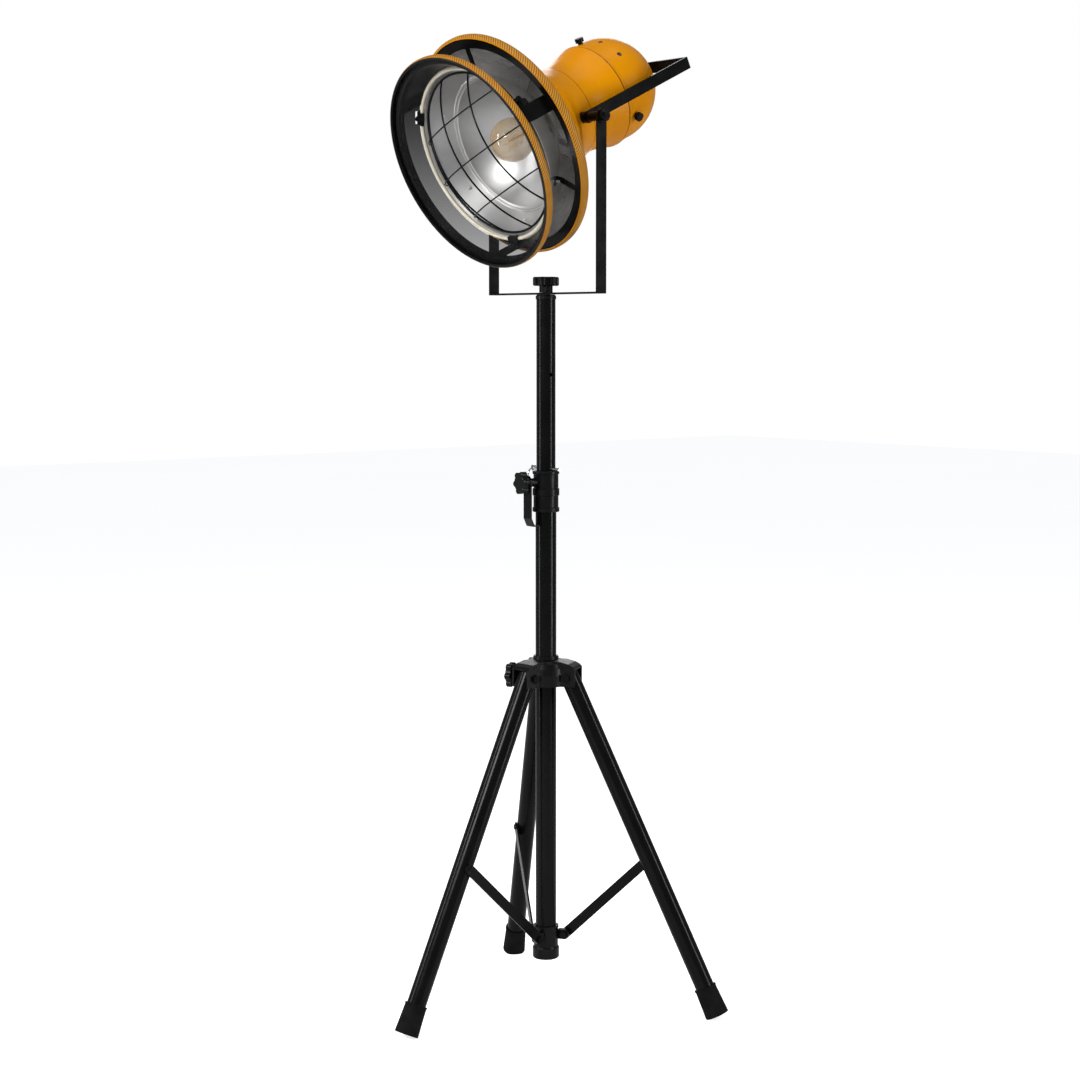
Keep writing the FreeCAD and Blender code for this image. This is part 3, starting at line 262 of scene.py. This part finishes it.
def rim_paint():
    """Front ring and both ropes: bronze on the ridges, painted shade in the grooves, black on the ring's
    front.
    """
    shader = Shader("rim_paint", specular_ior_level=0.15)
    _, y, angle = shader.head_place()
    rope = knurl(shader, y, angle)
    front = shader.math("LESS_THAN", y, along(RING_FRONT_EDGE))
    shader.colour(shader.mix(front, rope_colour(shader, rope), INK))
    shader.roughness(shader.grey(rope, 0.6, 0.34, 0.0, 1.0))
    shader.bump(shader.noise(700.0, 2.0), 0.05, 0.3)
    return shader.material


def black(name, scale, low, high, relief, depth, tones=(0.002, 0.004), **values):
    """Black paint or plastic with a clouded tone, an uneven gloss and its own fine relief."""
    shader = Shader(name, **values)
    dark, pale = tones
    shader.colour(shader.ramp(shader.noise(scale), [(0.3, (dark,) * 3), (0.7, (pale, pale, pale * 1.06))]))
    shader.roughness(shader.grey(shader.noise(scale * 3), low, high))
    shader.bump(shader.noise(relief, 2.0), depth, 0.3)
    return shader.material


def plated(name, colour, low, high, scale):
    """Bright plated metal with light handling marks."""
    shader = Shader(name, metallic=1.0)
    tone = tuple(c * 0.86 for c in colour)
    shader.colour(shader.ramp(shader.noise(scale), [(0.3, tone), (0.7, colour)]))
    shader.roughness(shader.grey(shader.noise(scale * 3), low, high))
    shader.bump(shader.noise(1400.0, 2.0), 0.02, 0.25)
    return shader.material


def reflector_metal():
    """Spun reflector: satin silver inside with turning marks, polished outside, cream rolled edge."""
    shader = Shader("reflector_metal", specular_ior_level=0.5)
    outside = shader.faces_out()
    radius, y, _ = shader.head_place()
    rim = shader.math("LESS_THAN", y, along(REFLECTOR_ROLL))
    marks = shader.math("SINE", shader.math("MULTIPLY", radius, TURNING_MARKS))
    haze = shader.noise(12.0, 5.0)
    silver = shader.ramp(haze, [(0.3, (0.37, 0.365, 0.365)), (0.7, (0.44, 0.435, 0.43))])
    polished = shader.ramp(shader.noise(5.0), [(0.3, (0.62, 0.61, 0.59)), (0.7, (0.74, 0.73, 0.71))])
    body = shader.mix(outside, silver, polished)
    cream = shader.ramp(shader.noise(50.0), [(0.3, (0.44, 0.40, 0.31)), (0.7, (0.58, 0.54, 0.44))])
    shader.colour(shader.mix(rim, body, cream))
    satin = shader.grey(shader.noise(22.0), 0.37, 0.43)
    smooth = shader.grey(shader.noise(18.0), 0.18, 0.26)
    shader.roughness(shader.mix(outside, satin, smooth))
    shader.metallic(shader.math("MULTIPLY", shader.math("SUBTRACT", 1.0, rim), 0.86))
    shader.bump(marks, 0.012, 0.5)
    shader.bump(shader.noise(400.0, 3.0), 0.03, 0.25)
    return shader.material


def smoked_glass():
    """Smoked translucent cone: the smoke tint is the glass's own, and painted shade makes it nearly black at
    the top and lighter towards the floor.
    """
    shader = Shader("smoked_glass", roughness=0.25, alpha=0.6, specular_ior_level=0.05)
    smoke = [(0.3, (0.010, 0.010, 0.011)), (0.7, (0.018, 0.018, 0.019))]
    shader.colour(shader.ramp(shader.noise(6.0), smoke))
    split = shader.node("ShaderNodeSeparateXYZ")
    shader.link(shader.place(), split.inputs[0])
    # Painted shade: the glass grows denser with height, so its top reads darker than its bottom.
    height = shader.math("MULTIPLY", shader.math("SUBTRACT", split.outputs[2], SHADE_FOOT_Z), SHADE_FADE)
    shader.link(shader.grey(height, 0.36, 0.93, 0.0, 0.85), shader.surface.inputs["Alpha"])
    return shader.material


def bulb_amber():
    """Thin amber glass: nearly clear in the middle, deeper towards its outline."""
    shader = Shader("bulb_amber", roughness=0.03, alpha=0.3, coat_weight=1.0, coat_roughness=0.02)
    tint = shader.ramp(shader.facing(0.35), [(0.1, (0.52, 0.40, 0.24)), (0.75, (0.34, 0.21, 0.08))])
    shader.colour(tint)
    shader.link(shader.grey(shader.facing(0.35), 0.26, 0.85, 0.15, 0.95), shader.surface.inputs["Alpha"])
    return shader.material


def holder_glaze():
    shader = Shader("holder_glaze", coat_weight=0.5, coat_roughness=0.08)
    shader.colour(shader.ramp(shader.noise(40.0), [(0.3, (0.66, 0.63, 0.56)), (0.7, (0.76, 0.74, 0.68))]))
    shader.roughness(shader.grey(shader.noise(30.0), 0.25, 0.35))
    shader.bump(shader.noise(300.0), 0.05, 0.3)
    return shader.material


def warm_wire():
    shader = Shader("warm_wire", metallic=1.0)
    shader.colour(shader.ramp(shader.noise(200.0), [(0.3, (0.75, 0.42, 0.14)), (0.7, (0.95, 0.62, 0.28))]))
    shader.roughness(shader.grey(shader.noise(90.0), 0.28, 0.4))
    return shader.material


MATERIALS = {
    "housing": housing_paint(), "rim": rim_paint(),
    "coat": black("black_coat", 14.0, 0.16, 0.24, 1500.0, 0.005, specular_ior_level=0.10),
    "gloss": black("black_gloss", 20.0, 0.16, 0.24, 1200.0, 0.005, specular_ior_level=0.10),
    "plastic": black("moulded_plastic", 25.0, 0.26, 0.38, 2600.0, 0.01, specular_ior_level=0.14),
    "rubber": black("boot_rubber", 60.0, 0.6, 0.8, 1800.0, 0.10, (0.003, 0.007), specular_ior_level=0.06),
    "zinc": plated("zinc_plate", (0.60, 0.59, 0.56), 0.22, 0.36, 60.0),
    "chrome": plated("chrome_plate", (0.80, 0.80, 0.81), 0.05, 0.12, 40.0),
    "brass": plated("cap_brass", (0.72, 0.55, 0.27), 0.20, 0.34, 70.0),
    "reflector": reflector_metal(), "smoked": smoked_glass(), "amber": bulb_amber(), "glaze": holder_glaze(),
    "wire": warm_wire(),
}

NODE_MATERIALS = {
    "coat": ["lower_tube", "upper_tube", "leg_tube", "brace_bar", "yoke", "handle", "cable_hook",
             "ring_straps", "tilt_spacers", "leg_pivot_bolts", "brace_pivot_bolts", "reflector_standoffs",
             "guard_clips", "brace_rivet", "tilt_bolts"],
    "gloss": ["wire_guard", "guard_ring", "bell_trim_ring", "front_ring_liner", "tilt_knob"],
    "plastic": ["bottom_collar", "tube_bottom_plug", "clamp_collar", "clamp_knob", "tripod_hub",
                "hub_knob", "yoke_knob", "tube_cap", "thumb_screw", "cable_gland", "clamp_liner",
                "hub_bush", "yoke_washer"],
    "rubber": ["rubber_boot"],
    "zinc": ["top_stud", "reflector_screws", "holder_bracket"],
    "chrome": ["lock_pin", "pin_ring"],
    "housing": ["bell_housing", "neck_housing", "rear_cap"],
    "rim": ["front_ring"],
    "reflector": ["reflector"],
    "smoked": ["smoked_collar"],
    "amber": ["bulb_glass"],
    "brass": ["bulb_base"],
    "wire": ["filament"],
    "glaze": ["lampholder"],
}


def base_name(node):
    """A node's name without its number."""
    return node.rstrip("0123456789").rstrip("_") if node[-1].isdigit() else node


def paint_nodes():
    """Give each CAD node its material; a longer listed name wins over a shorter one."""
    listed = [(name, key) for key, names in NODE_MATERIALS.items() for name in names]
    listed.sort(key=lambda pair: -len(pair[0]))
    for node, obj in frame["nodes"].items():
        key = next(k for name, k in listed if node == name or base_name(node).startswith(name))
        for slot in obj.material_slots:
            slot.material = MATERIALS[key]


paint_nodes()


# ---------------------------------------------------------------- rope-knurled rims

ROPE_STEPS = 6           # mesh columns to a ridge
ROPE_HEIGHT = 0.35       # millimetres, half of a ridge's height over its groove
ROPE_SECTION = [         # millimetres along the axis, millimetres below the rim's radius, share of the relief
    (-8.0, 3.6, 0.0), (-7.9, 2.5, 0.0), (-6.6, 1.5, 0.7), (-5.4, 0.7, 1.0), (-2.5, 0.0, 1.0), (0.0, 0.0, 1.0),
    (2.5, 0.0, 1.0), (5.4, 0.7, 1.0), (6.6, 1.5, 0.7), (7.9, 2.5, 0.0), (8.0, 3.6, 0.0),
]


def rope_sleeve(name, s, rim_radius):
    """Knurled skin of a rolled rim, as a closed ring that stands on the CAD rim."""
    shape = bmesh.new()
    rows = []
    columns = ROPE_STRANDS * ROPE_STEPS
    for column in range(columns):
        angle = 2 * math.pi * column / columns
        row = []
        for offset, drop, share in ROPE_SECTION:
            y = along(s + offset)
            relief = 1.0 + math.sin(ROPE_STRANDS * angle + ROPE_SLANT * y)
            radius = (rim_radius - drop + share * ROPE_HEIGHT * relief) * MM
            point = Vector((radius * math.sin(angle), y, radius * math.cos(angle)))
            row.append(shape.verts.new(HEAD @ point))
        rows.append(row)
    for row, following in zip(rows, rows[1:] + rows[:1]):
        for here in range(len(row)):
            there = (here + 1) % len(row)
            shape.faces.new((row[here], row[there], following[there], following[here])).smooth = True
    bmesh.ops.recalc_face_normals(shape, faces=shape.faces)
    mesh = bpy.data.meshes.new(name)
    shape.to_mesh(mesh)
    shape.free()
    mesh.materials.append(MATERIALS["rim"])
    sleeve = bpy.data.objects.new(name, mesh)
    bpy.context.scene.collection.objects.link(sleeve)
    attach(sleeve, "head")


rope_sleeve("bell_rim_rope", BELL_RIM_S, BELL_RIM_R)
rope_sleeve("front_ring_rope", FRONT_RING_S, FRONT_RING_R)


# ---------------------------------------------------------------- studio

CAMERA_AZIMUTH = 50.72
CAMERA_DISTANCE = 3.674
CAMERA_HEIGHT = 1.149
CAMERA_PITCH = 4.14
LENS = 73.0
SHIFT = (-0.0055, -0.05)
FLOOR_GLOW = 0.74        # what the floor adds for the camera alone
WORLD_LIGHT = 0.28       # strength of the world for all but the camera


def make_camera():
    angle = math.radians(CAMERA_AZIMUTH)
    data = bpy.data.cameras.new("camera")
    data.lens = LENS
    data.shift_x, data.shift_y = SHIFT
    camera = bpy.data.objects.new("camera", data)
    camera.location = (math.sin(angle) * CAMERA_DISTANCE, -math.cos(angle) * CAMERA_DISTANCE, CAMERA_HEIGHT)
    camera.rotation_euler = Euler((math.radians(90 - CAMERA_PITCH), 0, angle))
    bpy.context.scene.collection.objects.link(camera)
    bpy.context.scene.camera = camera


def make_floor():
    """Large pale floor, lit from itself only for the camera."""
    mesh = bpy.data.meshes.new("floor")
    shape = bmesh.new()
    bmesh.ops.create_grid(shape, x_segments=8, y_segments=8, size=14.0)
    shape.to_mesh(mesh)
    shape.free()
    floor = bpy.data.objects.new("floor", mesh)
    bpy.context.scene.collection.objects.link(floor)
    shader = Shader("floor_paper", specular_ior_level=0.1, emission_color=(1, 1, 1, 1))
    seen = shader.node("ShaderNodeLightPath").outputs["Is Camera Ray"]
    shader.link(shader.math("MULTIPLY", seen, FLOOR_GLOW), shader.surface.inputs["Emission Strength"])
    shader.colour(shader.ramp(shader.noise(0.7), [(0.3, (0.82, 0.82, 0.82)), (0.7, (0.85, 0.85, 0.85))]))
    shader.roughness(shader.grey(shader.noise(2.0), 0.8, 0.9))
    mesh.materials.append(shader.material)


LIGHT_AIM = (0, 0, 1.1)
LIGHTS = [               # name, azimuth in degrees like the camera's, metres away, metres up, size, watts
    ("key", 14.0, 3.2, 2.4, (1.1, 1.1), 92.0),
    ("strip_right", 118.0, 2.8, 1.3, (0.30, 2.4), 44.0),
    ("strip_left", -28.0, 2.8, 1.3, (0.25, 2.4), 36.0),
    ("top", 60.0, 0.6, 3.6, (2.0, 2.0), 22.0),
    ("back", 230.0, 3.2, 2.2, (1.2, 2.0), 18.0),
]


def make_light(name, azimuth, distance, height, size, power):
    """Soft box that looks at the lamp's middle."""
    angle = math.radians(azimuth)
    data = bpy.data.lights.new(name, "AREA")
    data.shape = "RECTANGLE"
    data.size, data.size_y = size
    data.energy = power
    light = bpy.data.objects.new(name, data)
    light.location = (math.sin(angle) * distance, -math.cos(angle) * distance, height)
    light.rotation_euler = (Vector(LIGHT_AIM) - light.location).to_track_quat("-Z", "Y").to_euler()
    bpy.context.scene.collection.objects.link(light)


def make_world():
    """White to the camera, a softer grey to everything that it lights."""
    world = bpy.data.worlds.new("studio")
    bpy.context.scene.world = world
    world.use_nodes = True
    tree = world.node_tree
    tree.nodes.clear()
    path = tree.nodes.new("ShaderNodeLightPath")
    seen = tree.nodes.new("ShaderNodeBackground")
    seen.inputs["Color"].default_value = (1, 1, 1, 1)
    seen.inputs["Strength"].default_value = 1.0
    lit = tree.nodes.new("ShaderNodeBackground")
    lit.inputs["Color"].default_value = (0.92, 0.95, 1.0, 1)
    lit.inputs["Strength"].default_value = WORLD_LIGHT
    mix = tree.nodes.new("ShaderNodeMixShader")
    out = tree.nodes.new("ShaderNodeOutputWorld")
    tree.links.new(path.outputs["Is Camera Ray"], mix.inputs[0])
    tree.links.new(lit.outputs[0], mix.inputs[1])
    tree.links.new(seen.outputs[0], mix.inputs[2])
    tree.links.new(mix.outputs[0], out.inputs["Surface"])


make_camera()
make_floor()
make_world()
for light in LIGHTS:
    make_light(*light)

bpy.context.scene.view_settings.view_transform = "Standard"
